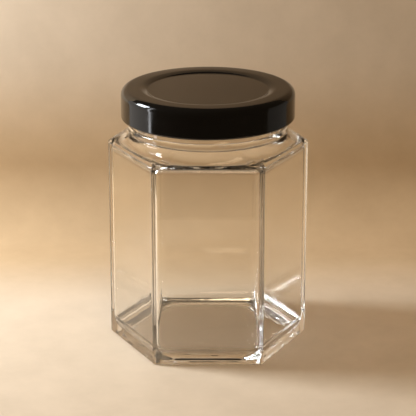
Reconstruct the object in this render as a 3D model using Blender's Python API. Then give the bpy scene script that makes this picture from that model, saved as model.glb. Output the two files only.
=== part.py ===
"""Six-sided preserving jar of clear glass, standing empty with its twist-off lid shut.

Metres, +Z up. The origin is the middle of the base, on the surface that the jar stands on.
The wide front face looks along -Y and two of the corners lie on the X axis.
"""

import math

import bmesh
import bpy
from mathutils import Vector

MM = 0.001
FULL_TURN = 2 * math.pi

# The body's outline, to its sharp corners before they are rounded
CORNER_REACH = 38.5 * MM
FRONT_HALF_WIDTH = 20.6 * MM
FRONT_REACH = 33.34 * MM
CORNER_ROUND = 1.8 * MM

# The wall and the base
WALL = 2.8 * MM
INNER_CORNER_ROUND = 2.6 * MM
BASE_EDGE_ROUND = 1.2 * MM
BEARING_WIDTH = 5.0 * MM
PUSH_UP_SLOPE = 4.0 * MM
PUSH_UP_DEPTH = 0.6 * MM
PUSH_UP_CORNER_ROUND = 8.0 * MM
FLOOR_HEIGHT = 2.7 * MM
FLOOR_ROUND = 5.4 * MM
FLOOR_CORNER_ROUND = 6.5 * MM
FLOOR_CROWN = 0.3 * MM

# The shoulder, from the top of the faces to the root of the neck: domed outside, hollow inside
SHOULDER_START = 77.9 * MM
SHOULDER_ROUND = 1.3 * MM
SHOULDER_TURN = math.radians(52)
SHOULDER_DOMING = 0.85
NECK_ROOT_HEIGHT = 83.2 * MM
INNER_SHOULDER_START = 75.0 * MM
INNER_SHOULDER_ROUND = 2.5 * MM
INNER_SHOULDER_DOMING = 2.2
INNER_NECK_ROOT_HEIGHT = 82.0 * MM

# The neck: a rounded bead above the shoulder, the thread, and the sealing rim
BEAD_RADIUS = 30.6 * MM
BEAD_TOP = 86.2 * MM
NECK_RADIUS = 29.8 * MM
BORE_RADIUS = 27.0 * MM
RIM_TOP = 99.2 * MM
RIM_ROUND = 1.4 * MM
CORNER_SPREAD = math.radians(10)

# The thread: ribs that rise anticlockwise, each round part of the neck
THREAD_COUNT = 4
THREAD_DEPTH = 1.3 * MM
THREAD_HALF_HEIGHT = 1.3 * MM
THREAD_LOW = 89.2 * MM
THREAD_RISE = 3.0 * MM
THREAD_SPAN = math.radians(66)
THREAD_END_TAPER = math.radians(10)
THREAD_FIRST_ANGLE = math.radians(-86)

# The small oval lug on the bead, a little right of the front
LUG_ANGLE = math.radians(-79.8)
LUG_HEIGHT = 86.0 * MM
LUG_HALF_WIDTH = 2.7 * MM
LUG_HALF_HEIGHT = 0.9 * MM
LUG_DEPTH = 0.5 * MM

# The lid, pressed from one sheet
LID_RADIUS = 33.0 * MM
LID_BOTTOM = 88.5 * MM
LID_CREST = 100.0 * MM
LID_SHEET = 0.5 * MM
LID_EDGE_ROUND = 2.8 * MM
LID_PANEL_RADIUS = 22.8 * MM
LID_PANEL_DROP = 0.9 * MM
LID_STEP_WIDTH = 3.6 * MM
LID_CURL_RADIUS = 0.65 * MM
LID_CURL_HEIGHT = 1.6 * MM

# How finely round stretches are divided
CORNER_STEPS = 4
FACE_STEPS = 8
ROUND_STEPS = 3
SHOULDER_STEPS = 4
BEAD_STEPS = 6
THREAD_ZONE_RINGS = 8
LID_EDGE_STEPS = 4
LID_SIDES = 64
RING_POINTS = 6 * (CORNER_STEPS + FACE_STEPS)
SMOOTH_ANGLE = math.radians(35)


def clear_scene():
    """Remove whatever the opened file holds."""
    for old in list(bpy.data.objects):
        bpy.data.objects.remove(old, do_unlink=True)


def principled(name, colour, roughness, metallic, transmission):
    """Make a material with one Principled BSDF."""
    finish = bpy.data.materials.new(name)
    finish.use_nodes = True
    shader = finish.node_tree.nodes["Principled BSDF"]
    shader.inputs["Base Color"].default_value = (*colour, 1.0)
    shader.inputs["Roughness"].default_value = roughness
    shader.inputs["Metallic"].default_value = metallic
    shader.inputs["Transmission Weight"].default_value = transmission
    shader.inputs["IOR"].default_value = 1.52
    return finish


def add_object(name, mesh, finish):
    """Put a mesh in the scene as one named sub-part, shaded smooth up to its sharp edges."""
    mesh.materials.append(finish)
    mesh.shade_smooth()
    mesh.set_sharp_from_angle(angle=SMOOTH_ANGLE)
    part = bpy.data.objects.new(name, mesh)
    bpy.context.scene.collection.objects.link(part)
    return part


def body_corners():
    """The sharp corners of the body's outline, anticlockwise from +X."""
    right = [
        Vector((CORNER_REACH, 0.0)),
        Vector((FRONT_HALF_WIDTH, FRONT_REACH)),
        Vector((-FRONT_HALF_WIDTH, FRONT_REACH)),
    ]
    return right + [-corner for corner in right]


def corner_arc(before, corner, after, inset, radius):
    """Points round one corner of an outline drawn in by inset."""
    side_in = (corner - before).normalized()
    side_out = (after - corner).normalized()
    start = math.atan2(-side_in.x, side_in.y)
    turn = abs(side_in.angle_signed(side_out))
    middle = start + turn / 2
    centre = corner - Vector((math.cos(middle), math.sin(middle))) * (inset + radius) / math.cos(turn / 2)
    points = []
    for step in range(CORNER_STEPS + 1):
        angle = start + turn * step / CORNER_STEPS
        points.append(centre + Vector((math.cos(angle), math.sin(angle))) * radius)
    return points


def hexagon_outline(inset, radius):
    """The body's outline drawn in by inset, with its corners rounded to radius."""
    corners = body_corners()
    count = len(corners)
    arcs = []
    for index, corner in enumerate(corners):
        arcs.append(corner_arc(corners[index - 1], corner, corners[(index + 1) % count], inset, radius))
    points = []
    for index, arc in enumerate(arcs):
        points.extend(arc)
        following = arcs[(index + 1) % count][0]
        for step in range(1, FACE_STEPS):
            points.append(arc[-1].lerp(following, step / FACE_STEPS))
    return points


def ring_directions():
    """Directions of a round ring's points, in line with the same points of the hexagon."""
    headings = [math.atan2(corner.y, corner.x) for corner in body_corners()]
    directions = []
    for index, heading in enumerate(headings):
        for step in range(CORNER_STEPS + 1):
            directions.append(heading + CORNER_SPREAD * (2 * step / CORNER_STEPS - 1))
        gap = (headings[(index + 1) % len(headings)] - heading) % FULL_TURN
        for step in range(1, FACE_STEPS):
            directions.append(heading + CORNER_SPREAD + (gap - 2 * CORNER_SPREAD) * step / FACE_STEPS)
    return directions


def round_outline(radius):
    """A circle with as many points as the hexagon's outline."""
    return [Vector((math.cos(angle), math.sin(angle))) * radius for angle in ring_directions()]


def at_height(outline, height):
    """Lift a flat outline to a height, as a ring of points."""
    return [Vector((point.x, point.y, height)) for point in outline]


def smooth_step(value):
    """Ease from 0 to 1 with no corner at either end."""
    value = min(max(value, 0.0), 1.0)
    return value * value * (3.0 - 2.0 * value)


def thread_relief(angle, height):
    """How far a thread rib stands out of the neck at this place."""
    relief = 0.0
    for index in range(THREAD_COUNT):
        first = THREAD_FIRST_ANGLE + FULL_TURN * index / THREAD_COUNT
        along = (angle - first) % FULL_TURN
        if along > THREAD_SPAN:
            continue
        middle = THREAD_LOW + THREAD_RISE * along / THREAD_SPAN
        across = abs(height - middle) / THREAD_HALF_HEIGHT
        ends = smooth_step(along / THREAD_END_TAPER) * smooth_step((THREAD_SPAN - along) / THREAD_END_TAPER)
        relief = max(relief, THREAD_DEPTH * smooth_step(1.5 - 1.5 * across) * ends)
    return relief


def lug_relief(angle, height):
    """How far the oval lug stands out of the bead at this place."""
    turned = (angle - LUG_ANGLE + math.pi) % FULL_TURN - math.pi
    along = turned * BEAD_RADIUS / LUG_HALF_WIDTH
    across = (height - LUG_HEIGHT) / LUG_HALF_HEIGHT
    return LUG_DEPTH * smooth_step(2.0 - 2.0 * math.hypot(along, across))


def neck_ring(radius, height):
    """One ring of the neck, standing out where the thread or the lug passes."""
    points = []
    for angle in ring_directions():
        reach = radius + thread_relief(angle, height) + lug_relief(angle, height)
        points.append(Vector((math.cos(angle) * reach, math.sin(angle) * reach, height)))
    return points


def blended_rings(low_outline, low, high_outline, high, doming):
    """Rings that pass from one outline to another, without the first one."""
    rings = []
    for step in range(1, SHOULDER_STEPS + 1):
        share = step / SHOULDER_STEPS
        outline = [a.lerp(b, share) for a, b in zip(low_outline, high_outline)]
        rings.append(at_height(outline, low + (high - low) * share ** doming))
    return rings


def underside_rings():
    """The underside: the push-up in the middle, then the flat ring that the jar stands on."""
    slope_end = BASE_EDGE_ROUND + BEARING_WIDTH + PUSH_UP_SLOPE
    bearing_end = BASE_EDGE_ROUND + BEARING_WIDTH
    return [
        at_height(hexagon_outline(slope_end, PUSH_UP_CORNER_ROUND), PUSH_UP_DEPTH),
        at_height(hexagon_outline(bearing_end, PUSH_UP_CORNER_ROUND), 0.0),
    ]


def outer_body_rings():
    """The rounded base edge, the flat faces and the rounded edge of the shoulder."""
    rings = []
    for step in range(ROUND_STEPS + 1):
        angle = math.pi / 2 * step / ROUND_STEPS
        inset = BASE_EDGE_ROUND * (1 - math.sin(angle))
        height = BASE_EDGE_ROUND * (1 - math.cos(angle))
        rings.append(at_height(hexagon_outline(inset, CORNER_ROUND - inset), height))
    for step in range(ROUND_STEPS + 1):
        angle = SHOULDER_TURN * step / ROUND_STEPS
        inset = SHOULDER_ROUND * (1 - math.cos(angle))
        height = SHOULDER_START + SHOULDER_ROUND * math.sin(angle)
        rings.append(at_height(hexagon_outline(inset, CORNER_ROUND - inset), height))
    return rings


def outer_shoulder_rings():
    """The slope from the six faces to the round root of the neck."""
    inset = SHOULDER_ROUND * (1 - math.cos(SHOULDER_TURN))
    low = SHOULDER_START + SHOULDER_ROUND * math.sin(SHOULDER_TURN)
    edge = hexagon_outline(inset, CORNER_ROUND - inset)
    return blended_rings(edge, low, round_outline(NECK_RADIUS), NECK_ROOT_HEIGHT, SHOULDER_DOMING)


def neck_rings():
    """The rounded bead, the threaded part and the rounded sealing rim."""
    rings = []
    for step in range(1, BEAD_STEPS + 1):
        turn = math.pi * step / BEAD_STEPS
        radius = NECK_RADIUS + (BEAD_RADIUS - NECK_RADIUS) * math.sin(turn)
        height = NECK_ROOT_HEIGHT + (BEAD_TOP - NECK_ROOT_HEIGHT) * (1 - math.cos(turn)) / 2
        rings.append(neck_ring(radius, height))
    thread_top = THREAD_LOW + THREAD_RISE + THREAD_HALF_HEIGHT
    for step in range(1, THREAD_ZONE_RINGS + 1):
        height = BEAD_TOP + (thread_top - BEAD_TOP) * step / THREAD_ZONE_RINGS
        rings.append(neck_ring(NECK_RADIUS, height))
    rim_middle = (NECK_RADIUS + BORE_RADIUS) / 2
    for step in range(2 * ROUND_STEPS + 1):
        angle = math.pi * step / (2 * ROUND_STEPS)
        radius = rim_middle + RIM_ROUND * math.cos(angle)
        rings.append(at_height(round_outline(radius), RIM_TOP - RIM_ROUND + RIM_ROUND * math.sin(angle)))
    return rings


def inner_shoulder_rings():
    """The bore and the inside of the shoulder, from the top down."""
    drawn_in = INNER_SHOULDER_ROUND * (1 - math.cos(SHOULDER_TURN))
    low = INNER_SHOULDER_START + INNER_SHOULDER_ROUND * math.sin(SHOULDER_TURN)
    edge = hexagon_outline(WALL + drawn_in, INNER_CORNER_ROUND)
    bore = round_outline(BORE_RADIUS)
    upward = blended_rings(edge, low, bore, INNER_NECK_ROOT_HEIGHT, INNER_SHOULDER_DOMING)
    rings = list(reversed(upward))
    for step in range(ROUND_STEPS + 1):
        angle = SHOULDER_TURN * (1 - step / ROUND_STEPS)
        drawn_in = INNER_SHOULDER_ROUND * (1 - math.cos(angle))
        height = INNER_SHOULDER_START + INNER_SHOULDER_ROUND * math.sin(angle)
        rings.append(at_height(hexagon_outline(WALL + drawn_in, INNER_CORNER_ROUND), height))
    return rings


def floor_rings():
    """The rounded foot of the inner wall, down to the floor's edge."""
    rings = []
    steps = ROUND_STEPS + 1
    for step in range(steps + 1):
        angle = math.pi / 2 * step / steps
        drawn_in = FLOOR_ROUND * (1 - math.cos(angle))
        height = FLOOR_HEIGHT + FLOOR_ROUND * (1 - math.sin(angle))
        corner_round = INNER_CORNER_ROUND + (FLOOR_CORNER_ROUND - INNER_CORNER_ROUND) * drawn_in / FLOOR_ROUND
        rings.append(at_height(hexagon_outline(WALL + drawn_in, corner_round), height))
    return rings


def build_jar(finish):
    """Loft the glass in one closed skin: underside, outside, rim, inside, floor."""
    rings = underside_rings() + outer_body_rings() + outer_shoulder_rings() + neck_rings()
    rings += inner_shoulder_rings() + floor_rings()
    skin = bmesh.new()
    loops = [[skin.verts.new(point) for point in ring] for ring in rings]
    for lower, upper in zip(loops, loops[1:]):
        for index in range(RING_POINTS):
            after = (index + 1) % RING_POINTS
            skin.faces.new((lower[index], lower[after], upper[after], upper[index]))
    under_middle = skin.verts.new((0.0, 0.0, PUSH_UP_DEPTH))
    floor_middle = skin.verts.new((0.0, 0.0, FLOOR_HEIGHT + FLOOR_CROWN))
    for index in range(RING_POINTS):
        after = (index + 1) % RING_POINTS
        skin.faces.new((loops[0][after], loops[0][index], under_middle))
        skin.faces.new((loops[-1][index], loops[-1][after], floor_middle))
    mesh = bpy.data.meshes.new("jar")
    skin.to_mesh(mesh)
    skin.free()
    return add_object("jar", mesh, finish)


def profile_arc(centre_x, centre_z, radius, start, end, steps):
    """Points of an arc in the lid's cross-section; angles in degrees from +X towards +Z."""
    points = []
    for step in range(steps + 1):
        angle = math.radians(start + (end - start) * step / steps)
        points.append((centre_x + radius * math.cos(angle), centre_z + radius * math.sin(angle)))
    return points


def lid_top_line(sheet_depth):
    """The pressed panel and the rolled step that rises to the crest, sheet_depth below the outside."""
    panel = LID_CREST - LID_PANEL_DROP - sheet_depth
    line = [(0.0, panel)]
    for step in range(ROUND_STEPS + 1):
        share = step / ROUND_STEPS
        rise = LID_PANEL_DROP * math.sin(math.pi / 2 * share)
        line.append((LID_PANEL_RADIUS + LID_STEP_WIDTH * share, panel + rise))
    return line


def lid_profile():
    """The lid's closed cross-section: over the top, down the skirt, round the curl and back inside."""
    edge_x = LID_RADIUS - LID_EDGE_ROUND
    edge_z = LID_CREST - LID_EDGE_ROUND
    curl_x = LID_RADIUS - LID_CURL_RADIUS
    curl_z = LID_BOTTOM + LID_CURL_RADIUS
    curl_inside = LID_RADIUS - 2 * LID_CURL_RADIUS
    skirt_inside = LID_RADIUS - LID_SHEET
    curl_top = LID_BOTTOM + LID_CURL_HEIGHT
    outside = lid_top_line(0.0) + profile_arc(edge_x, edge_z, LID_EDGE_ROUND, 90, 0, LID_EDGE_STEPS)
    curl = profile_arc(curl_x, curl_z, LID_CURL_RADIUS, 0, -180, LID_EDGE_STEPS)
    inside = [
        (curl_inside, curl_top - LID_CURL_RADIUS),
        (skirt_inside, curl_top),
        *profile_arc(edge_x, edge_z, LID_EDGE_ROUND - LID_SHEET, 0, 90, LID_EDGE_STEPS),
    ]
    return outside + curl + inside + list(reversed(lid_top_line(LID_SHEET)))


def build_lid(finish):
    """Turn the lid's cross-section about the jar's axis."""
    profile = lid_profile()
    points = [(x, 0.0, z) for x, z in profile]
    mesh = bpy.data.meshes.new("lid")
    mesh.from_pydata(points, [(index, index + 1) for index in range(len(points) - 1)], [])
    lid = add_object("lid", mesh, finish)
    turned = lid.modifiers.new("turned", "SCREW")
    turned.axis = "Z"
    turned.angle = FULL_TURN
    turned.steps = LID_SIDES
    turned.render_steps = LID_SIDES
    turned.use_merge_vertices = True
    turned.merge_threshold = 0.01 * MM
    return lid


def main():
    """Build the jar and its lid."""
    clear_scene()
    glass = principled("clear_glass", (0.97, 0.98, 0.96), 0.02, 0.0, 1.0)
    black = principled("black_lacquer", (0.012, 0.011, 0.010), 0.12, 0.0, 0.0)
    build_jar(glass)
    build_lid(black)


main()
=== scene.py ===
"""Looks of the hexagonal preserving jar: the clear glass, the black lid and the plain studio round them.

Metres, +Z up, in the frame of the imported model. The wide front face looks along -Y.
"""

import logging
import math
from dataclasses import dataclass, field
from enum import Enum

import bmesh
import bpy
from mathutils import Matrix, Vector

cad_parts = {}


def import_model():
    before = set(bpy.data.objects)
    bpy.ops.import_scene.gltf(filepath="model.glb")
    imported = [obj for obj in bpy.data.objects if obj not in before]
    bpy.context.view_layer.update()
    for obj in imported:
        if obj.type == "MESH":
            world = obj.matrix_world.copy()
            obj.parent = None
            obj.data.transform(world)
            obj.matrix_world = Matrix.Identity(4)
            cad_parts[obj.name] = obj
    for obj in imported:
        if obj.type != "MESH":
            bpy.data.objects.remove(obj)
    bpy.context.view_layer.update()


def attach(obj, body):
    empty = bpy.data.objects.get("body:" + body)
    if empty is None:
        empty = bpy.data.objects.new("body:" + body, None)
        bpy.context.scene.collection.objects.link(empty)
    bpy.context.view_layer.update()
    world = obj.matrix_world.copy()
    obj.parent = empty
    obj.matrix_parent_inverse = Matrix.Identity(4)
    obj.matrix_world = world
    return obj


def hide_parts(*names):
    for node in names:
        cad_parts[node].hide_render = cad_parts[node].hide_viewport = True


LOG = logging.getLogger("hexagonal_jar")
MM = 0.001
FULL_TURN = 2 * math.pi
BODY = "root"
CORNER_COUNT = 6
START_RADIUS = 10 * MM
SHARP_ABOVE = math.radians(60)
NODE_START = -900
NODE_SPACING = 190

# Places of the colour mixer's sockets, whose names repeat
MIX_SHARE = 0
MIX_FIRST_COLOUR = 6
MIX_SECOND_COLOUR = 7
MIX_COLOUR_OUT = 2


class Node(Enum):
    """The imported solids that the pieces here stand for."""

    JAR = "jar"
    LID = "lid"


class Slot(Enum):
    """The record's material slots."""

    GLASS = "clear_glass"
    LACQUER = "black_lacquer"


def smooth_step(value: float) -> float:
    """Ease from 0 to 1 with no corner at either end.

    Args:
        value: Where along the step, from 0 to 1. Values outside are held.

    Returns:
        The eased value.
    """
    value = min(max(value, 0.0), 1.0)
    return value * value * (3.0 - 2.0 * value)


def deselect_all() -> None:
    """Leave object mode's selection empty, so that an operator acts on nothing old."""
    bpy.ops.object.select_all(action="DESELECT")


@dataclass
class HexagonOutline:
    """The body's rounded outline, seen from above, and how finely it is divided."""

    corner_reach: float = 38.5 * MM
    front_half_width: float = 20.6 * MM
    front_reach: float = 33.34 * MM
    corner_spread: float = math.radians(10)
    corner_steps: int = 10
    face_steps: int = 20
    beside_corner: float = 0.006

    def face_shares(self) -> list[float]:
        """Find where a face's points lie along it, with one close beside each rounded corner.

        Returns:
            Shares of the face's length, rising.
        """
        even = [step / (self.face_steps - 2) for step in range(1, self.face_steps - 2)]
        return [self.beside_corner, *even, 1 - self.beside_corner]

    def corners(self) -> list[Vector]:
        """Find the sharp corners.

        Returns:
            The corners, anticlockwise from +X.
        """
        half = [
            Vector((self.corner_reach, 0.0)),
            Vector((self.front_half_width, self.front_reach)),
            Vector((-self.front_half_width, self.front_reach)),
        ]
        return half + [-corner for corner in half]

    def corner_arc(self, index: int, inset: float, radius: float) -> list[Vector]:
        """Points round one corner.

        Args:
            index: Which corner.
            inset: How far the outline is drawn in from the faces.
            radius: The corner's rounding.

        Returns:
            The arc's points, anticlockwise.
        """
        corners = self.corners()
        corner = corners[index]
        side_in = (corner - corners[index - 1]).normalized()
        side_out = (corners[(index + 1) % CORNER_COUNT] - corner).normalized()
        start = math.atan2(-side_in.x, side_in.y)
        turn = abs(side_in.angle_signed(side_out))
        middle = start + turn / 2
        away = Vector((math.cos(middle), math.sin(middle)))
        centre = corner - away * (inset + radius) / math.cos(turn / 2)
        arc = []
        for step in range(self.corner_steps + 1):
            angle = start + turn * step / self.corner_steps
            arc.append(centre + Vector((math.cos(angle), math.sin(angle))) * radius)
        return arc

    def drawn_in(self, inset: float, radius: float) -> list[Vector]:
        """The outline drawn in from the faces.

        Args:
            inset: How far it is drawn in.
            radius: The rounding of its corners.

        Returns:
            The flat outline, anticlockwise from the corner at +X.
        """
        arcs = [self.corner_arc(index, inset, radius) for index in range(CORNER_COUNT)]
        points = []
        for index, arc in enumerate(arcs):
            points.extend(arc)
            following = arcs[(index + 1) % CORNER_COUNT][0]
            points.extend(arc[-1].lerp(following, share) for share in self.face_shares())
        return points

    def directions(self) -> list[float]:
        """Find the directions of a round ring's points, each matched to one point of the hexagon.

        Returns:
            The angles in radians, in the order of the hexagon's points.
        """
        headings = [math.atan2(corner.y, corner.x) for corner in self.corners()]
        turns = []
        for index, heading in enumerate(headings):
            for step in range(self.corner_steps + 1):
                turns.append(heading + self.corner_spread * (2 * step / self.corner_steps - 1))
            gap = (headings[(index + 1) % CORNER_COUNT] - heading) % FULL_TURN
            start = heading + self.corner_spread
            turns.extend(start + (gap - 2 * self.corner_spread) * share for share in self.face_shares())
        return turns

    def circle(self, radius: float) -> list[Vector]:
        """Make a circle with the outline's number of points.

        Args:
            radius: The circle's radius.

        Returns:
            The circle's points.
        """
        return [Vector((math.cos(turn), math.sin(turn))) * radius for turn in self.directions()]


def lifted(outline: list[Vector], height: float) -> list[Vector]:
    """Put a flat outline at a height.

    Args:
        outline: Points on the ground.
        height: Where the ring lies.

    Returns:
        The ring's points.
    """
    return [Vector((point.x, point.y, height)) for point in outline]


class RingLoft:
    """A skin grown from a circle, one extruded and shaped edge loop at a time."""

    def __init__(self, name: str, first: list[Vector]) -> None:
        """Add the circle and shape it as the first ring.

        Args:
            name: The piece's name.
            first: The first ring's points.
        """
        deselect_all()
        bpy.ops.mesh.primitive_circle_add(vertices=len(first), radius=START_RADIUS, fill_type="NOTHING")
        self.piece = bpy.context.active_object
        self.piece.name = name
        self.piece.data.name = name
        bpy.ops.object.mode_set(mode="EDIT")
        bpy.ops.mesh.select_all(action="SELECT")
        self.ring = list(range(len(first)))
        self._place(first)

    def _place(self, points: list[Vector]) -> None:
        """Move the present ring.

        Args:
            points: Where the ring's vertices go.
        """
        mesh = bmesh.from_edit_mesh(self.piece.data)
        mesh.verts.ensure_lookup_table()
        for index, point in zip(self.ring, points):
            mesh.verts[index].co = point
        bmesh.update_edit_mesh(self.piece.data)

    def extend(self, points: list[Vector]) -> None:
        """Extrude the present ring and shape the new one.

        Args:
            points: The new ring's points.
        """
        bpy.ops.mesh.extrude_region_move()
        mesh = bmesh.from_edit_mesh(self.piece.data)
        mesh.verts.ensure_lookup_table()
        grown = []
        for index in self.ring:
            vert = mesh.verts[index]
            neighbours = [edge.other_vert(vert) for edge in vert.link_edges]
            grown.append(next(other.index for other in neighbours if other.select))
        self.ring = grown
        self._place(points)

    def close(self, middle: Vector) -> None:
        """Fill the present ring and raise its centre.

        Args:
            middle: Where the fan of faces meets.
        """
        bpy.ops.mesh.edge_face_add()
        bpy.ops.mesh.poke()
        mesh = bmesh.from_edit_mesh(self.piece.data)
        mesh.verts.ensure_lookup_table()
        mesh.verts[len(mesh.verts) - 1].co = middle
        bmesh.update_edit_mesh(self.piece.data)

    def select_first(self) -> None:
        """Select the loop that the skin began with."""
        bpy.ops.mesh.select_all(action="DESELECT")
        bpy.ops.mesh.select_non_manifold()

    def finish(self, sharp_above: float) -> bpy.types.Object:
        """Turn the faces outwards, leave edit mode and shade the piece.

        Args:
            sharp_above: The angle in radians from which an edge stays sharp.

        Returns:
            The finished piece.
        """
        bpy.ops.mesh.select_all(action="SELECT")
        bpy.ops.mesh.normals_make_consistent(inside=False)
        bpy.ops.object.mode_set(mode="OBJECT")
        bpy.ops.object.shade_smooth_by_angle(angle=sharp_above)
        return self.piece


def loft(name: str, rings: list[list[Vector]], first_middle: Vector, last_middle: Vector) -> bpy.types.Object:
    """Make a closed skin through rings, with a fan of faces at both ends.

    Args:
        name: The piece's name.
        rings: The rings in order.
        first_middle: The centre of the first end.
        last_middle: The centre of the last end.

    Returns:
        The finished piece.
    """
    skin = RingLoft(name, rings[0])
    for ring in rings[1:]:
        skin.extend(ring)
    skin.close(last_middle)
    skin.select_first()
    skin.close(first_middle)
    return skin.finish(SHARP_ABOVE)


@dataclass
class Graph:
    """Adds nodes to a material's or group's tree."""

    tree: bpy.types.NodeTree
    column: int = 0

    def add(
        self, kind: str, values: dict[str | int, object] | None = None, **settings: object
    ) -> bpy.types.Node:
        """Add one node.

        Args:
            kind: The node's type.
            values: Values of its input sockets, by name or by place.
            settings: The node's own settings.

        Returns:
            The node.
        """
        node = self.tree.nodes.new(kind)
        node.location = (NODE_START + NODE_SPACING * self.column, 0)
        self.column += 1
        for name, value in settings.items():
            setattr(node, name, value)
        for name, value in (values or {}).items():
            node.inputs[name].default_value = value
        return node

    def join(self, source: bpy.types.NodeSocket, target: bpy.types.NodeSocket) -> None:
        """Link two sockets.

        Args:
            source: The output socket.
            target: The input socket.
        """
        self.tree.links.new(source, target)


class SoftSmudges:
    """A shader group that gives a polished surface soft dull patches in its roughness."""

    name = "soft_smudges"
    patch_levels = (0.38, 0.72)

    @classmethod
    def group(cls) -> bpy.types.NodeTree:
        """Find the group, or make it on first use.

        Returns:
            The group.
        """
        return bpy.data.node_groups.get(cls.name) or cls._build()

    @classmethod
    def _build(cls) -> bpy.types.NodeTree:
        """Make the group's sockets and nodes.

        Returns:
            The new group.
        """
        tree = bpy.data.node_groups.new(cls.name, "ShaderNodeTree")
        sockets = (
            ("Vector", "INPUT", "NodeSocketVector"),
            ("Size", "INPUT", "NodeSocketFloat"),
            ("Low Roughness", "INPUT", "NodeSocketFloat"),
            ("High Roughness", "INPUT", "NodeSocketFloat"),
            ("Roughness", "OUTPUT", "NodeSocketFloat"),
        )
        for label, way, kind in sockets:
            tree.interface.new_socket(name=label, in_out=way, socket_type=kind)
        graph = Graph(tree)
        inside = graph.add("NodeGroupInput")
        patches = graph.add("ShaderNodeTexNoise", {"Detail": 4.0, "Roughness": 0.62, "Distortion": 0.4})
        clear_below, dull_above = cls.patch_levels
        levels = {"From Min": clear_below, "From Max": dull_above}
        spread = graph.add("ShaderNodeMapRange", levels, interpolation_type="SMOOTHSTEP")
        outside = graph.add("NodeGroupOutput")
        graph.join(inside.outputs["Vector"], patches.inputs["Vector"])
        graph.join(inside.outputs["Size"], patches.inputs["Scale"])
        graph.join(patches.outputs["Fac"], spread.inputs["Value"])
        graph.join(inside.outputs["Low Roughness"], spread.inputs["To Min"])
        graph.join(inside.outputs["High Roughness"], spread.inputs["To Max"])
        graph.join(spread.outputs["Result"], outside.inputs["Roughness"])
        return tree


def new_material(name: str) -> tuple[bpy.types.Material, Graph, bpy.types.Node, bpy.types.Node]:
    """Make a material with its plain Principled shader.

    Args:
        name: The material's name.

    Returns:
        The material, its graph, the shader and the output node.
    """
    material = bpy.data.materials.new(name)
    material.use_nodes = True
    shader = material.node_tree.nodes["Principled BSDF"]
    output = material.node_tree.nodes["Material Output"]
    return material, Graph(material.node_tree), shader, output


@dataclass(frozen=True)
class ClearGlass:
    """Pressed soda glass: clear, with the faint drawn waviness of a moulded wall."""

    tint: tuple[float, float, float] = (0.970, 0.958, 0.932)
    bend: float = 1.52
    low_roughness: float = 0.0
    high_roughness: float = 0.012
    smudge_scale: float = 60.0
    wave_scale: float = 130.0
    wave_stretch: tuple[float, float, float] = (1.0, 1.0, 0.09)
    wave_depth: float = 0.00012
    wave_strength: float = 0.35

    def material(self) -> bpy.types.Material:
        """Build the glass material.

        Returns:
            The material.
        """
        material, graph, shader, _ = new_material("clear_soda_glass")
        place = graph.add("ShaderNodeTexCoord")
        smudges = graph.add("ShaderNodeGroup", node_tree=SoftSmudges.group())
        smudges.inputs["Size"].default_value = self.smudge_scale
        smudges.inputs["Low Roughness"].default_value = self.low_roughness
        smudges.inputs["High Roughness"].default_value = self.high_roughness
        graph.join(place.outputs["Object"], smudges.inputs["Vector"])
        drawn = graph.add("ShaderNodeMapping")
        drawn.inputs["Scale"].default_value = self.wave_stretch
        graph.join(place.outputs["Object"], drawn.inputs["Vector"])
        waves = graph.add("ShaderNodeTexNoise", {"Scale": self.wave_scale, "Detail": 2.0, "Roughness": 0.5})
        graph.join(drawn.outputs["Vector"], waves.inputs["Vector"])
        height = graph.add("ShaderNodeBump", {"Strength": self.wave_strength, "Distance": self.wave_depth})
        graph.join(waves.outputs["Fac"], height.inputs["Height"])
        shader.inputs["Base Color"].default_value = (*self.tint, 1.0)
        shader.inputs["IOR"].default_value = self.bend
        shader.inputs["Transmission Weight"].default_value = 1.0
        graph.join(smudges.outputs["Roughness"], shader.inputs["Roughness"])
        graph.join(height.outputs["Normal"], shader.inputs["Normal"])
        return material


@dataclass(frozen=True)
class BlackLacquer:
    """Stoved black lacquer on tinplate, glossy, with a slight grain where the sheet is pressed."""

    colour: tuple[float, float, float] = (0.0045, 0.0038, 0.003)
    low_roughness: float = 0.07
    high_roughness: float = 0.16
    bend: float = 1.55
    smudge_scale: float = 90.0
    grain_scale: float = 900.0
    grain_depth: float = 0.00002
    grain_strength: float = 0.12

    def material(self) -> bpy.types.Material:
        """Build the lid's material.

        Returns:
            The material.
        """
        material, graph, shader, _ = new_material("stoved_black_lacquer")
        place = graph.add("ShaderNodeTexCoord")
        smudges = graph.add("ShaderNodeGroup", node_tree=SoftSmudges.group())
        smudges.inputs["Size"].default_value = self.smudge_scale
        smudges.inputs["Low Roughness"].default_value = self.low_roughness
        smudges.inputs["High Roughness"].default_value = self.high_roughness
        graph.join(place.outputs["Object"], smudges.inputs["Vector"])
        grain = graph.add("ShaderNodeTexNoise", {"Scale": self.grain_scale, "Detail": 3.0, "Roughness": 0.6})
        graph.join(place.outputs["Object"], grain.inputs["Vector"])
        height = graph.add("ShaderNodeBump", {"Strength": self.grain_strength, "Distance": self.grain_depth})
        graph.join(grain.outputs["Fac"], height.inputs["Height"])
        shader.inputs["Base Color"].default_value = (*self.colour, 1.0)
        shader.inputs["IOR"].default_value = self.bend
        graph.join(smudges.outputs["Roughness"], shader.inputs["Roughness"])
        graph.join(height.outputs["Normal"], shader.inputs["Normal"])
        return material


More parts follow.
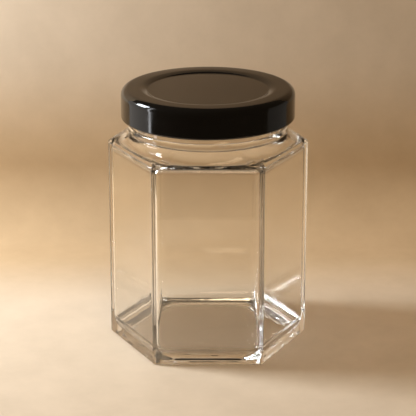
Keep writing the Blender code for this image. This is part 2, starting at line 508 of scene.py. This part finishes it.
@dataclass(frozen=True)
class PaleSurface:
    """The plain warm surface of the studio's floor and wall, seen from its front alone.

    It has painted shade: a deeper tone at the back of the floor and the foot of the wall, and high up the
    wall.
    """

    name: str
    light: tuple[float, float, float] = (0.68, 0.56, 0.43)
    dark: tuple[float, float, float] = (0.61, 0.50, 0.38)
    mottle_levels: tuple[float, float] = (0.3, 0.7)
    grain_scale: float = 45.0
    roughness: float = 0.85
    gloss: float = 0.2
    # Painted shade: the back of the floor and the foot of the wall are multiplied darker, and so is the wall
    # high up.
    back_painted_shade: tuple[float, float, float] = (0.80, 0.70, 0.55)
    back_shade_reach: tuple[float, float] = (0.02, 0.09)
    back_shade_slope: float = 1.2
    high_painted_shade: tuple[float, float, float] = (0.66, 0.58, 0.49)
    high_shade_reach: tuple[float, float] = (0.108, 0.130)

    def shaded(
        self,
        graph: Graph,
        colour: bpy.types.NodeSocket,
        where: bpy.types.NodeSocket,
        reach: tuple[float, float],
        tone: tuple[float, float, float],
    ) -> bpy.types.NodeSocket:
        """Paint shade into a colour gradually along one measure of place.

        Args:
            graph: The material's graph.
            colour: The colour so far.
            where: The measure that the shade follows, in metres.
            reach: Where the painted shade begins and where it is full.
            tone: What the colour is multiplied by where the painted shade is full.

        Returns:
            The shaded colour.
        """
        along = graph.add("ShaderNodeMapRange", interpolation_type="SMOOTHSTEP")
        along.inputs["From Min"].default_value, along.inputs["From Max"].default_value = reach
        mixed = graph.add("ShaderNodeMix", data_type="RGBA", blend_type="MULTIPLY")
        mixed.inputs[MIX_SECOND_COLOUR].default_value = (*tone, 1.0)
        graph.join(where, along.inputs["Value"])
        graph.join(along.outputs["Result"], mixed.inputs[MIX_SHARE])
        graph.join(colour, mixed.inputs[MIX_FIRST_COLOUR])
        return mixed.outputs[MIX_COLOUR_OUT]

    def material(self) -> bpy.types.Material:
        """Build the surface's material.

        Returns:
            The material.
        """
        material, graph, shader, output = new_material(self.name)
        place = graph.add("ShaderNodeTexCoord")
        grain = {"Scale": self.grain_scale, "Detail": 6.0, "Roughness": 0.65}
        mottle = graph.add("ShaderNodeTexNoise", grain)
        tones = graph.add("ShaderNodeValToRGB")
        colours = (self.dark, self.light)
        for stop, colour, level in zip(tones.color_ramp.elements, colours, self.mottle_levels):
            stop.color = (*colour, 1.0)
            stop.position = level
        graph.join(place.outputs["Object"], mottle.inputs["Vector"])
        graph.join(mottle.outputs["Fac"], tones.inputs["Fac"])
        # The painted shade follows how far back and how low a point is, and then its height up the wall.
        parts = graph.add("ShaderNodeSeparateXYZ")
        up_the_wall = graph.add("ShaderNodeMath", {1: -self.back_shade_slope}, operation="MULTIPLY")
        towards_back = graph.add("ShaderNodeMath", operation="ADD")
        graph.join(place.outputs["Object"], parts.inputs["Vector"])
        graph.join(parts.outputs["Z"], up_the_wall.inputs[0])
        graph.join(parts.outputs["Y"], towards_back.inputs[0])
        graph.join(up_the_wall.outputs[0], towards_back.inputs[1])
        # Painted shade: darker at the back of the floor and the foot of the wall, then darker high up the
        # wall.
        plain = tones.outputs["Color"]
        low = self.shaded(graph, plain, towards_back.outputs[0], self.back_shade_reach, self.back_painted_shade)
        whole = self.shaded(graph, low, parts.outputs["Z"], self.high_shade_reach, self.high_painted_shade)
        graph.join(whole, shader.inputs["Base Color"])
        shader.inputs["Roughness"].default_value = self.roughness
        shader.inputs["Specular IOR Level"].default_value = self.gloss
        geometry = graph.add("ShaderNodeNewGeometry")
        clear = graph.add("ShaderNodeBsdfTransparent")
        sides = graph.add("ShaderNodeMixShader")
        turned_away, front, back = sides.inputs
        graph.join(geometry.outputs["Backfacing"], turned_away)
        graph.join(shader.outputs["BSDF"], front)
        graph.join(clear.outputs["BSDF"], back)
        graph.join(sides.outputs["Shader"], output.inputs["Surface"])
        return material


@dataclass
class GlassJar:
    """The glass: six flat faces on a thick base, a sloping shoulder and a round threaded neck."""

    outline: HexagonOutline = field(default_factory=HexagonOutline)
    finish: ClearGlass = field(default_factory=ClearGlass)
    corner_round: float = 1.8 * MM
    wall: float = 2.8 * MM
    inner_corner_round: float = 2.6 * MM
    base_edge_round: float = 1.2 * MM
    bearing_width: float = 5.0 * MM
    push_up_slope: float = 4.0 * MM
    push_up_depth: float = 0.6 * MM
    push_up_corner_round: float = 8.0 * MM
    floor_height: float = 2.7 * MM
    floor_round: float = 5.4 * MM
    floor_corner_round: float = 6.5 * MM
    floor_crown: float = 0.3 * MM
    shoulder_start: float = 77.9 * MM
    shoulder_round: float = 1.3 * MM
    shoulder_turn: float = math.radians(52)
    shoulder_doming: float = 0.85
    neck_root_height: float = 83.2 * MM
    inner_shoulder_start: float = 75.0 * MM
    inner_shoulder_round: float = 2.5 * MM
    inner_neck_root_height: float = 82.0 * MM
    inner_shoulder_doming: float = 2.2
    bead_radius: float = 30.6 * MM
    bead_top: float = 86.2 * MM
    neck_radius: float = 29.8 * MM
    bore_radius: float = 27.0 * MM
    rim_top: float = 99.2 * MM
    rim_round: float = 1.4 * MM
    thread_count: int = 4
    thread_depth: float = 1.3 * MM
    thread_half_height: float = 1.3 * MM
    thread_low: float = 89.2 * MM
    thread_rise: float = 3.0 * MM
    thread_span: float = math.radians(66)
    thread_taper: float = math.radians(10)
    thread_first: float = math.radians(-86)
    thread_flank: float = 1.5
    lug_angle: float = math.radians(-79.8)
    lug_height: float = 86.0 * MM
    lug_half_width: float = 2.7 * MM
    lug_half_height: float = 0.9 * MM
    lug_depth: float = 0.5 * MM
    lug_flank: float = 2.0
    beside: float = 0.2 * MM
    round_steps: int = 8
    slope_steps: int = 10
    bead_steps: int = 16
    thread_rings: int = 24
    floor_shares: tuple[float, ...] = (0.02, 0.2, 0.4, 0.6, 0.8)

    def underside(self) -> list[list[Vector]]:
        """Shape the push-up under the base, out to the flat ring that the jar stands on.

        Returns:
            The rings, going out.
        """
        flat = self.base_edge_round + self.bearing_width
        rings = []
        for step in range(self.round_steps + 1):
            share = step / self.round_steps
            inset = flat + self.push_up_slope * (1 - share)
            ring = self.outline.drawn_in(inset, self.push_up_corner_round)
            rings.append(lifted(ring, self.push_up_depth * smooth_step(1 - share)))
        bearing = self.outline.drawn_in(self.base_edge_round + self.beside, self.corner_round)
        rings.append(lifted(bearing, 0.0))
        return rings

    def outer_body(self) -> list[list[Vector]]:
        """Shape the rounded base edge, the faces and the rounded edge of the shoulder.

        Returns:
            The rings, going up.
        """
        rings = []
        for step in range(self.round_steps + 1):
            angle = math.pi / 2 * step / self.round_steps
            inset = self.base_edge_round * (1 - math.sin(angle))
            height = self.base_edge_round * (1 - math.cos(angle))
            rings.append(lifted(self.outline.drawn_in(inset, self.corner_round - inset), height))
        for height in (self.base_edge_round + self.beside, self.shoulder_start - self.beside):
            rings.append(lifted(self.outline.drawn_in(0.0, self.corner_round), height))
        for step in range(self.round_steps + 1):
            angle = self.shoulder_turn * step / self.round_steps
            inset = self.shoulder_round * (1 - math.cos(angle))
            height = self.shoulder_start + self.shoulder_round * math.sin(angle)
            rings.append(lifted(self.outline.drawn_in(inset, self.corner_round - inset), height))
        return rings

    def slope(
        self, low: list[Vector], heights: tuple[float, float], high: list[Vector], doming: float
    ) -> list[list[Vector]]:
        """Shape a slope from a hexagon to a circle above it.

        Args:
            low: The lower outline, which isn't repeated.
            heights: The lower and the upper outline's height.
            high: The upper outline.
            doming: Below 1 the slope is domed, above 1 it is hollow.

        Returns:
            The rings, going up.
        """
        rings = []
        for step in range(1, self.slope_steps + 1):
            share = step / self.slope_steps
            outline = [a.lerp(b, share) for a, b in zip(low, high)]
            rings.append(lifted(outline, heights[0] + (heights[1] - heights[0]) * share ** doming))
        return rings

    def outer_shoulder(self) -> list[list[Vector]]:
        """Shape the slope from the faces to the root of the neck.

        Returns:
            The rings, going up.
        """
        inset = self.shoulder_round * (1 - math.cos(self.shoulder_turn))
        height = self.shoulder_start + self.shoulder_round * math.sin(self.shoulder_turn)
        edge = self.outline.drawn_in(inset, self.corner_round - inset)
        neck = self.outline.circle(self.neck_radius)
        return self.slope(edge, (height, self.neck_root_height), neck, self.shoulder_doming)

    def thread_relief(self, angle: float, height: float) -> float:
        """How far a thread rib stands out of the neck.

        Args:
            angle: The direction from the axis.
            height: The height on the neck.

        Returns:
            The relief, 0 between the ribs.
        """
        relief = 0.0
        for index in range(self.thread_count):
            first = self.thread_first + FULL_TURN * index / self.thread_count
            along = (angle - first) % FULL_TURN
            if along > self.thread_span:
                continue
            middle = self.thread_low + self.thread_rise * along / self.thread_span
            across = abs(height - middle) / self.thread_half_height
            begun = smooth_step(along / self.thread_taper)
            left = smooth_step((self.thread_span - along) / self.thread_taper)
            flank = smooth_step(self.thread_flank - self.thread_flank * across)
            relief = max(relief, self.thread_depth * flank * (begun * left))
        return relief

    def lug_relief(self, angle: float, height: float) -> float:
        """How far the small oval lug stands out of the bead.

        Args:
            angle: The direction from the axis.
            height: The height on the neck.

        Returns:
            The relief, 0 away from the lug.
        """
        turned = (angle - self.lug_angle + math.pi) % FULL_TURN - math.pi
        along = turned * self.bead_radius / self.lug_half_width
        across = (height - self.lug_height) / self.lug_half_height
        return self.lug_depth * smooth_step(self.lug_flank - self.lug_flank * math.hypot(along, across))

    def neck_ring(self, radius: float, height: float) -> list[Vector]:
        """Shape one ring of the neck, standing out where a rib or the lug passes.

        Args:
            radius: The neck's radius here.
            height: The ring's height.

        Returns:
            The ring's points.
        """
        points = []
        for angle in self.outline.directions():
            reach = radius + self.thread_relief(angle, height) + self.lug_relief(angle, height)
            points.append(Vector((math.cos(angle) * reach, math.sin(angle) * reach, height)))
        return points

    def neck(self) -> list[list[Vector]]:
        """Shape the rounded bead, the thread and the rim, over the top and into the bore.

        Returns:
            The rings, in the order that the skin grows.
        """
        rings = []
        bead_height = self.bead_top - self.neck_root_height
        for step in range(1, self.bead_steps + 1):
            turn = math.pi * step / self.bead_steps
            radius = self.neck_radius + (self.bead_radius - self.neck_radius) * math.sin(turn)
            height = self.neck_root_height + bead_height * (1 - math.cos(turn)) / 2
            rings.append(self.neck_ring(radius, height))
        low = self.bead_top
        high = self.thread_low + self.thread_rise + self.thread_half_height
        for step in range(1, self.thread_rings + 1):
            rings.append(self.neck_ring(self.neck_radius, low + (high - low) * step / self.thread_rings))
        rim_middle = (self.neck_radius + self.bore_radius) / 2
        for step in range(2 * self.round_steps + 1):
            angle = math.pi * step / (2 * self.round_steps)
            height = self.rim_top - self.rim_round * (1 - math.sin(angle))
            rings.append(lifted(self.outline.circle(rim_middle + self.rim_round * math.cos(angle)), height))
        return rings

    def inside(self) -> list[list[Vector]]:
        """Shape the bore, the inner shoulder, the inner wall with its rounded foot, and the floor.

        Returns:
            The rings, going down and then in.
        """
        start = self.inner_shoulder_start
        drawn = self.inner_shoulder_round * (1 - math.cos(self.shoulder_turn))
        low = start + self.inner_shoulder_round * math.sin(self.shoulder_turn)
        edge = self.outline.drawn_in(self.wall + drawn, self.inner_corner_round)
        bore = self.outline.circle(self.bore_radius)
        heights = (low, self.inner_neck_root_height)
        rings = [lifted(bore, self.inner_neck_root_height + self.beside)]
        rings += reversed(self.slope(edge, heights, bore, self.inner_shoulder_doming))
        for step in range(self.round_steps + 1):
            angle = self.shoulder_turn * (1 - step / self.round_steps)
            drawn = self.inner_shoulder_round * (1 - math.cos(angle))
            height = start + self.inner_shoulder_round * math.sin(angle)
            rings.append(lifted(self.outline.drawn_in(self.wall + drawn, self.inner_corner_round), height))
        for height in (start - self.beside, self.floor_height + self.floor_round + self.beside):
            rings.append(lifted(self.outline.drawn_in(self.wall, self.inner_corner_round), height))
        foot_steps = 2 * self.round_steps
        for step in range(foot_steps + 1):
            angle = math.pi / 2 * step / foot_steps
            drawn = self.floor_round * (1 - math.cos(angle))
            height = self.floor_height + self.floor_round * (1 - math.sin(angle))
            widened = (self.floor_corner_round - self.inner_corner_round) * drawn / self.floor_round
            edge = self.outline.drawn_in(self.wall + drawn, self.inner_corner_round + widened)
            rings.append(lifted(edge, height))
        for share in self.floor_shares:
            nearer = [point * (1 - share) for point in edge]
            rings.append(lifted(nearer, self.floor_height + self.floor_crown * smooth_step(share)))
        return rings

    def build(self) -> bpy.types.Object:
        """Grow the glass in one skin and dress it.

        Returns:
            The finished piece.
        """
        rings = self.underside() + self.outer_body() + self.outer_shoulder() + self.neck() + self.inside()
        under = Vector((0.0, 0.0, self.push_up_depth))
        floor = Vector((0.0, 0.0, self.floor_height + self.floor_crown))
        piece = loft("jar_glass", rings, under, floor)
        piece.data.materials.append(self.finish.material())
        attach(piece, BODY)
        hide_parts(Node.JAR.value)
        return piece


@dataclass
class TwistLid:
    """The lid: a pressed panel, a raised crest, a straight skirt and a curled hem."""

    finish: BlackLacquer = field(default_factory=BlackLacquer)
    radius: float = 33.0 * MM
    bottom: float = 88.5 * MM
    crest: float = 100.0 * MM
    sheet: float = 0.5 * MM
    edge_round: float = 2.8 * MM
    panel_radius: float = 22.8 * MM
    panel_drop: float = 0.9 * MM
    step_width: float = 3.6 * MM
    step_onset: float = 0.25
    curl_radius: float = 0.65 * MM
    curl_height: float = 1.6 * MM
    beside: float = 0.15 * MM
    sides: int = 144
    round_steps: int = 12

    def top_line(self, depth: float) -> list[tuple[float, float]]:
        """Draw the panel, its step and the crest, from the middle out.

        Args:
            depth: How far below the outside the line lies.

        Returns:
            Pairs of radius and height.
        """
        panel = self.crest - self.panel_drop - depth
        line = [(self.panel_radius / 2, panel), (self.panel_radius - 2 * self.beside, panel)]
        for step in range(self.round_steps + 1):
            share = step / self.round_steps
            onset = smooth_step(share / self.step_onset) ** 0.5
            rise = self.panel_drop * onset * math.sin(math.pi / 2 * share)
            line.append((self.panel_radius + self.step_width * share, panel + rise))
        return line

    def arc(
        self, centre: tuple[float, float], radius: float, start: float, end: float
    ) -> list[tuple[float, float]]:
        """Draw an arc in the cross-section.

        Args:
            centre: Its centre, as radius and height.
            radius: Its radius.
            start: Its first angle in degrees, from outwards towards up.
            end: Its last angle.

        Returns:
            Pairs of radius and height.
        """
        points = []
        for step in range(self.round_steps + 1):
            angle = math.radians(start + (end - start) * step / self.round_steps)
            points.append((centre[0] + radius * math.cos(angle), centre[1] + radius * math.sin(angle)))
        return points

    def profile(self) -> list[tuple[float, float]]:
        """Draw the cross-section, from the middle of the top round to the middle of the underside.

        Returns:
            Pairs of radius and height.
        """
        edge = (self.radius - self.edge_round, self.crest - self.edge_round)
        curl = (self.radius - self.curl_radius, self.bottom + self.curl_radius)
        inside = self.radius - self.sheet
        hem_top = self.bottom + self.curl_height
        outer = self.top_line(0.0) + self.arc(edge, self.edge_round, 90, 0)
        outer += [(self.radius, edge[1] - self.beside), (self.radius, curl[1] + self.beside)]
        hem = self.arc(curl, self.curl_radius, 0, -180)
        hem += [(self.radius - 2 * self.curl_radius, hem_top - self.curl_radius), (inside, hem_top)]
        under = self.arc(edge, self.edge_round - self.sheet, 0, 90)
        under += reversed(self.top_line(self.sheet))
        return outer + hem + under

    def build(self) -> bpy.types.Object:
        """Turn the cross-section round the axis and dress the lid.

        Returns:
            The finished piece.
        """
        rings = []
        for radius, height in self.profile():
            ring = []
            for side in range(self.sides):
                angle = FULL_TURN * side / self.sides
                ring.append(Vector((math.cos(angle) * radius, math.sin(angle) * radius, height)))
            rings.append(ring)
        top = Vector((0.0, 0.0, self.crest - self.panel_drop))
        underneath = Vector((0.0, 0.0, self.crest - self.panel_drop - self.sheet))
        piece = loft("lid_cap", rings, top, underneath)
        piece.data.materials.append(self.finish.material())
        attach(piece, BODY)
        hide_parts(Node.LID.value)
        return piece


@dataclass(frozen=True)
class SoftLight:
    """One soft light: its place, the point it faces, its width and height, power and colour.

    A light that isn't mirrored shows in no reflection. One that isn't scattered lights no matt surface
    and doesn't show through glass. One without shadows reaches a surface through whatever is before it.
    """

    name: str
    place: tuple[float, float, float]
    aim: tuple[float, float, float]
    size: tuple[float, float]
    power: float
    colour: tuple[float, float, float]
    mirrored: bool = True
    scattered: bool = True
    shadows: bool = True

    def build(self) -> bpy.types.Object:
        """Add the light.

        Returns:
            The light's object.
        """
        data = bpy.data.lights.new(self.name, "AREA")
        data.shape = "RECTANGLE"
        data.size, data.size_y = self.size
        data.energy = self.power
        data.color = self.colour
        light = bpy.data.objects.new(self.name, data)
        light.location = self.place
        light.rotation_euler = (Vector(self.aim) - Vector(self.place)).to_track_quat("-Z", "Y").to_euler()
        light.visible_glossy = self.mirrored
        light.visible_diffuse = self.scattered
        light.visible_transmission = self.scattered
        data.use_shadow = self.shadows
        bpy.context.scene.collection.objects.link(light)
        return light


@dataclass
class Studio:
    """The plain floor and wall, the soft lights and the camera at the photograph's angle."""

    wall_distance: float = 0.125
    cove: float = 0.03
    cove_steps: int = 16
    floor_front: float = 0.20
    floor_gap: float = 0.00005
    half_width: float = 0.22
    wall_height: float = 0.22
    camera_place: tuple[float, float, float] = (0.0, -0.637, 0.2695)
    camera_pitch: float = math.radians(18.89)
    lens: float = 150.66
    sensor: float = 36.0
    nearest: float = 0.01
    surround: tuple[float, float, float] = (0.060, 0.045, 0.030)
    bounces: int = 20
    indirect_limit: float = 40.0
    lights: tuple[SoftLight, ...] = (
        SoftLight(
            name="window_light",
            place=(-0.62, 0.10, 0.38),
            aim=(0.0, 0.02, 0.04),
            size=(0.20, 0.22),
            power=5.0,
            colour=(0.88, 0.95, 1.0),
        ),
        SoftLight(
            name="tall_window",
            place=(-0.47, -0.085, 0.13),
            aim=(0.0, -0.02, 0.13),
            size=(0.03, 0.50),
            power=0.25,
            colour=(0.95, 0.97, 1.0),
            scattered=False,
        ),
        SoftLight(
            name="window_glow",
            place=(-0.50, 0.10, 0.05),
            aim=(0.0, -0.02, 0.05),
            size=(0.40, 0.50),
            power=0.45,
            colour=(1.0, 0.93, 0.86),
            scattered=False,
        ),
        SoftLight(
            name="far_glow",
            place=(0.50, 0.12, 0.0),
            aim=(0.0, -0.02, 0.0),
            size=(0.40, 0.40),
            power=0.07,
            colour=(1.0, 0.93, 0.84),
            scattered=False,
        ),
        SoftLight(
            name="wall_light",
            place=(-0.20, 0.01, 0.22),
            aim=(-0.12, 0.12, 0.06),
            size=(0.10, 0.10),
            power=0.5,
            colour=(0.93, 0.97, 1.0),
            mirrored=False,
        ),
        SoftLight(
            name="wall_wash",
            place=(0.12, -0.42, 0.50),
            aim=(0.02, 0.12, 0.10),
            size=(0.25, 0.25),
            power=0.8,
            colour=(1.0, 0.80, 0.55),
            mirrored=False,
        ),
        SoftLight(
            name="ceiling",
            place=(0.1, -0.1, 0.80),
            aim=(0.0, 0.02, 0.0),
            size=(0.7, 0.7),
            power=1.9,
            colour=(1.0, 0.74, 0.48),
            mirrored=False,
            shadows=False,
        ),
    )

    def select_back_edge(self, sweep: bpy.types.Object) -> None:
        """Select the floor's back edge alone, where the wall stands.

        Args:
            sweep: The sheet, in edit mode.
        """
        bpy.ops.mesh.select_mode(type="EDGE")
        bpy.ops.mesh.select_all(action="DESELECT")
        mesh = bmesh.from_edit_mesh(sweep.data)
        for edge in mesh.edges:
            if all(vert.co.y > 0 and vert.co.z < self.cove for vert in edge.verts):
                edge.select_set(True)
        bmesh.update_edit_mesh(sweep.data)

    def build_sweep(self) -> bpy.types.Object:
        """Make the floor and the wall in one sheet, curved where they meet.

        Returns:
            The sheet.
        """
        deselect_all()
        bpy.ops.mesh.primitive_plane_add(size=1.0)
        sweep = bpy.context.active_object
        sweep.name = "studio_sweep"
        bpy.ops.object.mode_set(mode="EDIT")
        mesh = bmesh.from_edit_mesh(sweep.data)
        for vert in mesh.verts:
            vert.co.x = math.copysign(self.half_width, vert.co.x)
            vert.co.y = self.wall_distance if vert.co.y > 0 else -self.floor_front
            vert.co.z = -self.floor_gap
        self.select_back_edge(sweep)
        bpy.ops.mesh.extrude_region_move(TRANSFORM_OT_translate={"value": (0.0, 0.0, self.wall_height)})
        self.select_back_edge(sweep)
        bpy.ops.mesh.bevel(offset=self.cove, segments=self.cove_steps, affect="EDGES")
        bpy.ops.mesh.select_all(action="SELECT")
        bpy.ops.mesh.normals_make_consistent(inside=False)
        mesh = bmesh.from_edit_mesh(sweep.data)
        if min(mesh.faces, key=lambda face: face.calc_center_median().z).normal.z < 0:
            bpy.ops.mesh.flip_normals()
        bpy.ops.object.mode_set(mode="OBJECT")
        bpy.ops.object.shade_smooth()
        sweep.data.materials.append(PaleSurface("warm_plaster").material())
        return sweep

    def build_lights(self) -> None:
        """Place the soft lights and the dim surround."""
        for light in self.lights:
            light.build()
        world = bpy.data.worlds.new("dim_surround")
        world.use_nodes = True
        world.node_tree.nodes["Background"].inputs["Color"].default_value = (*self.surround, 1.0)
        world.node_tree.nodes["Background"].inputs["Strength"].default_value = 1.0
        bpy.context.scene.world = world

    def build_camera(self) -> None:
        """Set the camera at the photograph's place."""
        data = bpy.data.cameras.new("photo_camera")
        data.lens = self.lens
        data.sensor_width = self.sensor
        data.clip_start = self.nearest
        camera = bpy.data.objects.new("photo_camera", data)
        camera.location = self.camera_place
        camera.rotation_euler = (math.pi / 2 - self.camera_pitch, 0.0, 0.0)
        bpy.context.scene.collection.objects.link(camera)
        bpy.context.scene.camera = camera

    def build(self) -> None:
        """Set the whole studio, and let light pass through many faces of glass."""
        self.build_sweep()
        self.build_lights()
        self.build_camera()
        stage = bpy.context.scene
        stage.view_settings.view_transform = "Standard"
        stage.cycles.max_bounces = self.bounces
        stage.cycles.glossy_bounces = self.bounces
        stage.cycles.transmission_bounces = self.bounces
        stage.cycles.sample_clamp_indirect = self.indirect_limit


def main() -> None:
    """Build the pieces in order and report each one."""
    logging.basicConfig(level=logging.INFO, format="%(name)s: %(message)s")
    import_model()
    for maker in (GlassJar(), TwistLid()):
        piece = maker.build()
        LOG.info("%s: %d faces", piece.name, len(piece.data.polygons))
    Studio().build()
    LOG.info("studio set")


if __name__ == "__main__":
    main()
